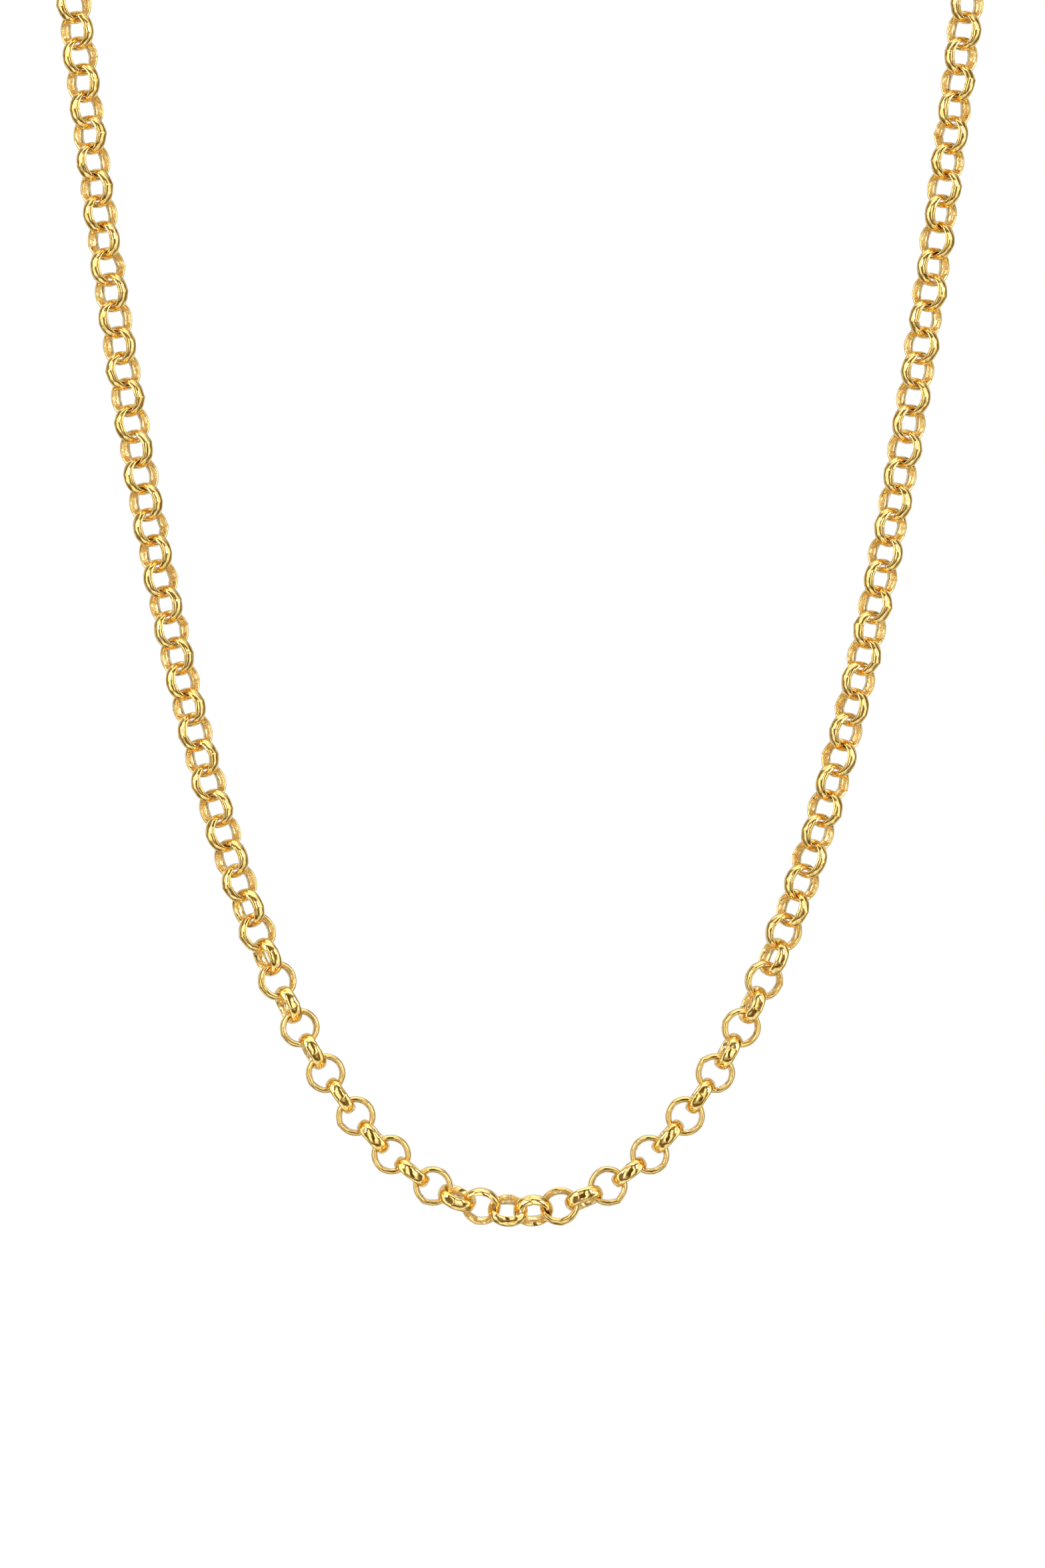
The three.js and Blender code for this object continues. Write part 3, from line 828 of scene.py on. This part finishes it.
def pale_floor():
    level = cad_box[0].z - FLOOR_DROP
    points = []
    for radius in FLOOR_RINGS:
        for k in range(FLOOR_CORNERS):
            angle = 2 * math.pi * k / FLOOR_CORNERS
            points.append((radius * math.cos(angle), radius * math.sin(angle), level))
    faces = [tuple(range(FLOOR_CORNERS))]
    for start in (0, FLOOR_CORNERS):
        for k in range(FLOOR_CORNERS):
            along = (k + 1) % FLOOR_CORNERS
            faces.append((start + k, start + FLOOR_CORNERS + k, start + FLOOR_CORNERS + along, start + along))
    mesh = bpy.data.meshes.new("floor")
    mesh.from_pydata(points, [], faces)
    far = [0.0] * FLOOR_CORNERS + [1.0] * (2 * FLOOR_CORNERS)
    mesh.attributes.new("far", "FLOAT", "POINT").data.foreach_set("value", far)
    floor = bpy.data.objects.new("floor", mesh)
    bpy.context.scene.collection.objects.link(floor)
    n = Nodes("pale_floor")
    paper = n.mixed(n.noise(40, 3), (0.93, 0.93, 0.93, 1), (0.96, 0.96, 0.955, 1))
    n.set(n.shader.inputs["Base Color"], paper)
    n.shader.inputs["Roughness"].default_value = 0.7
    n.shader.inputs["Emission Color"].default_value = (1, 1, 1, 1)
    n.set(n.shader.inputs["Emission Strength"], n.maths("MULTIPLY", n.attribute("far"), FAR_GLOW))
    floor.data.materials.append(n.material)
    floor.visible_glossy = False  # the gold reflects the studio's own lower half instead


pale_floor()


def soft_light(name, place, aim, size, power):
    light = bpy.data.lights.new(name, "AREA")
    light.shape = "RECTANGLE"
    light.size, light.size_y = size
    light.energy = power
    obj = bpy.data.objects.new(name, light)
    obj.location = place
    obj.rotation_mode = "QUATERNION"
    obj.rotation_quaternion = (Vector(aim) - Vector(place)).to_track_quat("-Z", "Y")
    bpy.context.scene.collection.objects.link(obj)


middle = (cad_box[0] + cad_box[1]) / 2
soft_light("left_softbox", middle + Vector((-0.55, -0.35, 0.30)), middle, (0.10, 0.4), 1.0)
soft_light("right_softbox", middle + Vector((0.55, -0.35, 0.30)), middle, (0.10, 0.4), 1.0)

# ---- camera: long lens, level, square on to the front of the chain ----
LENS, SENSOR = 200.0, 36.0
VIEW_HEIGHT = 0.1574
VIEW_CENTRE_X = 0.0002
VIEW_ABOVE_LOWEST = 0.0444  # from the lowest point of the chain up to the middle of the view


def main_camera():
    data = bpy.data.cameras.new("camera")
    data.lens, data.sensor_width = LENS, SENSOR
    camera = bpy.data.objects.new("camera", data)
    front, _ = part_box("left_run_24")
    distance = VIEW_HEIGHT / 2 / (SENSOR / 2 / LENS)
    camera.location = (VIEW_CENTRE_X, front.y + 0.0016 - distance, front.z + VIEW_ABOVE_LOWEST)
    camera.rotation_euler = (math.pi / 2, 0, 0)
    data.clip_start, data.clip_end = 0.05, 50
    bpy.context.scene.collection.objects.link(camera)
    bpy.context.scene.camera = camera


main_camera()
bpy.context.scene.view_settings.view_transform = "Standard"
bpy.context.scene.view_settings.look = "None"
